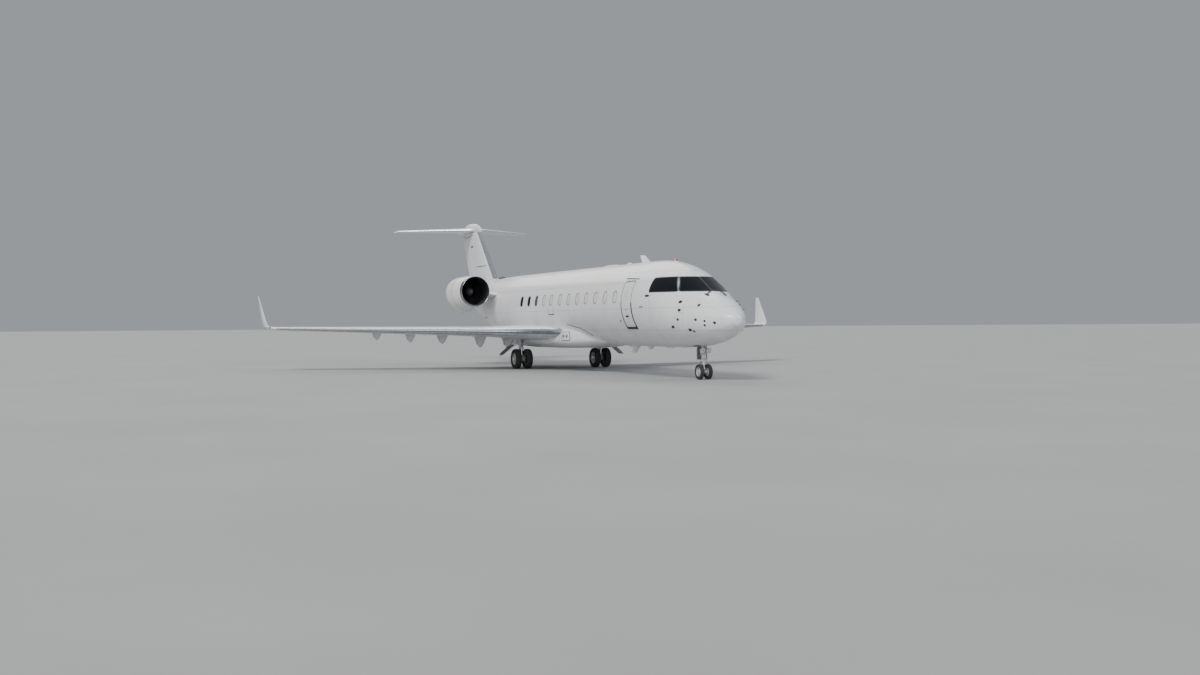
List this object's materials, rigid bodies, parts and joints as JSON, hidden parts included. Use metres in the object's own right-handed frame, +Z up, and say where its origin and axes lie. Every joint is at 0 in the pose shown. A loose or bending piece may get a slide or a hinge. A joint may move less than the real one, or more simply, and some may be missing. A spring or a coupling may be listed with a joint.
{
  "type": "regional jet airliner",
  "caption": "Regional jet airliner with a tube fuselage, low swept wings with winglets, rear engines on pylons, T-tail and twin-wheel landing gear.",
  "frame": {"origin": "on the ground, below the middle of the length and of the span", "axes": "+X to the nose, +Y to the left wing tip, +Z up"},
  "size_m": [26.77, 21.211, 6.22],
  "materials": {
    "white_paint": "glossy white paint, lightly weathered",
    "grey_paint": "satin light grey paint",
    "bare_metal": "bare polished leading edge",
    "gear_steel": "grey enamelled gear steel",
    "engine_dark": "dark titanium and composite",
    "tyre_rubber": "matte worn rubber",
    "window_glass": "dark heated glass"
  },
  "bodies": {
    "airframe": {"radome": "white_paint", "fuselage_forward": "white_paint", "fuselage_centre": "white_paint", "fuselage_aft": "white_paint", "tail_cone": "white_paint", "belly_fairing": "white_paint", "service_door": "white_paint", "baggage_door": "white_paint", "fin": "white_paint", "tailplane": "white_paint", "overwing_exit_left": "white_paint", "winglet_left": "white_paint", "nacelle_left": "white_paint", "pylon_left": "white_paint", "main_gear_door_left": "white_paint", "nose_gear_door_left": "white_paint", "windshield_left": "window_glass", "side_window_left": "window_glass", "wing_left": "grey_paint", "intake_lip_left": "bare_metal", "engine_core_left": "engine_dark", "main_gear_leg_left": "gear_steel", "overwing_exit_right": "white_paint", "winglet_right": "white_paint", "nacelle_right": "white_paint", "pylon_right": "white_paint", "main_gear_door_right": "white_paint", "nose_gear_door_right": "white_paint", "windshield_right": "window_glass", "side_window_right": "window_glass", "wing_right": "grey_paint", "intake_lip_right": "bare_metal", "engine_core_right": "engine_dark", "main_gear_leg_right": "gear_steel", "nose_gear_leg": "gear_steel"},
    "passenger_door": {"passenger_door": "white_paint"},
    "nose_steering": {"nose_gear_fork": "gear_steel"},
    "nose_wheels": {"nose_rims": "gear_steel", "nose_tyre_outer": "tyre_rubber", "nose_tyre_inner": "tyre_rubber"},
    "rudder": {"rudder": "white_paint"},
    "main_wheels_left": {"main_rims_left": "gear_steel", "main_tyre_outer_left": "tyre_rubber", "main_tyre_inner_left": "tyre_rubber"},
    "fan_left": {"fan_left": "engine_dark"},
    "aileron_left": {"aileron_left": "white_paint"},
    "elevator_left": {"elevator_left": "white_paint"},
    "flap_inboard_left": {"flap_inboard_left": "white_paint"},
    "flap_outboard_left": {"flap_outboard_left": "white_paint"},
    "main_wheels_right": {"main_rims_right": "gear_steel", "main_tyre_outer_right": "tyre_rubber", "main_tyre_inner_right": "tyre_rubber"},
    "fan_right": {"fan_right": "engine_dark"},
    "aileron_right": {"aileron_right": "white_paint"},
    "elevator_right": {"elevator_right": "white_paint"},
    "flap_inboard_right": {"flap_inboard_right": "white_paint"},
    "flap_outboard_right": {"flap_outboard_right": "white_paint"}
  },
  "joints": [
    {"name": "passenger_door_hinge", "type": "hinge", "parent": "airframe", "child": "passenger_door", "pos_m": [8.78, 1.215, 1.615], "axis": [-1, 0, 0], "range_deg": [0, 145]},
    {"name": "nose_steering_turn", "type": "hinge", "parent": "airframe", "child": "nose_steering", "pos_m": [11.305, 0, 0.6], "axis": [0, 0, 1], "range_deg": [-70, 70]},
    {"name": "nose_wheel_spin", "type": "hinge", "parent": "nose_steering", "child": "nose_wheels", "pos_m": [11.305, 0, 0.2285], "axis": [0, 1, 0], "continuous": true},
    {"name": "main_wheel_spin_left", "type": "hinge", "parent": "airframe", "child": "main_wheels_left", "pos_m": [-0.105, 1.585, 0.3685], "axis": [0, 1, 0], "continuous": true},
    {"name": "fan_spin_left", "type": "hinge", "parent": "airframe", "child": "fan_left", "pos_m": [-4.515, 2.24, 2.97], "axis": [1, 0, 0], "continuous": true},
    {"name": "main_wheel_spin_right", "type": "hinge", "parent": "airframe", "child": "main_wheels_right", "pos_m": [-0.105, -1.585, 0.3685], "axis": [0, 1, 0], "continuous": true},
    {"name": "fan_spin_right", "type": "hinge", "parent": "airframe", "child": "fan_right", "pos_m": [-4.515, -2.24, 2.97], "axis": [1, 0, 0], "continuous": true},
    {"name": "aileron_hinge_left", "type": "hinge", "parent": "airframe", "child": "aileron_left", "pos_m": [-2.53243, 7.64, 1.49083], "axis": [0.3141, -0.9492, -0.0205], "range_deg": [-25, 25]},
    {"name": "aileron_hinge_right", "type": "hinge", "parent": "airframe", "child": "aileron_right", "pos_m": [-2.53243, -7.64, 1.49083], "axis": [-0.3141, -0.9492, 0.0205], "range_deg": [-25, 25]},
    {"name": "elevator_hinge_left", "type": "hinge", "parent": "airframe", "child": "elevator_left", "pos_m": [-11.89826, 0.26, 5.905], "axis": [0.3862, -0.9224, 0], "range_deg": [-23, 18]},
    {"name": "elevator_hinge_right", "type": "hinge", "parent": "airframe", "child": "elevator_right", "pos_m": [-11.89826, -0.26, 5.905], "axis": [-0.3862, -0.9224, 0], "range_deg": [-23, 18]},
    {"name": "rudder_hinge", "type": "hinge", "parent": "airframe", "child": "rudder", "pos_m": [-10.29985, 0, 3.66], "axis": [-0.589, 0, 0.8081], "range_deg": [-30, 30]},
    {"name": "flap_inboard_hinge_left", "type": "hinge", "parent": "airframe", "child": "flap_inboard_left", "pos_m": [-0.98927, 1.64, 1.03], "axis": [0.0028, -1, -0.0065], "range_deg": [0, 45]},
    {"name": "flap_outboard_hinge_left", "type": "hinge", "parent": "airframe", "child": "flap_outboard_left", "pos_m": [-1.01354, 3.25, 1.06], "axis": [0.3461, -0.9369, -0.0503], "range_deg": [0, 45]},
    {"name": "flap_inboard_hinge_right", "type": "hinge", "parent": "airframe", "child": "flap_inboard_right", "pos_m": [-0.98927, -1.64, 1.03], "axis": [-0.0028, -1, 0.0065], "range_deg": [0, 45]},
    {"name": "flap_outboard_hinge_right", "type": "hinge", "parent": "airframe", "child": "flap_outboard_right", "pos_m": [-1.01354, -3.25, 1.06], "axis": [-0.3461, -0.9369, 0.0503], "range_deg": [0, 45]}
  ],
  "couplings": [
    {"joint": "aileron_hinge_right", "follows": "aileron_hinge_left", "ratio": -1},
    {"joint": "elevator_hinge_right", "follows": "elevator_hinge_left", "ratio": 1},
    {"joint": "flap_inboard_hinge_left", "follows": "flap_outboard_hinge_left", "ratio": 1},
    {"joint": "flap_inboard_hinge_right", "follows": "flap_outboard_hinge_left", "ratio": 1},
    {"joint": "flap_outboard_hinge_right", "follows": "flap_outboard_hinge_left", "ratio": 1}
  ]
}
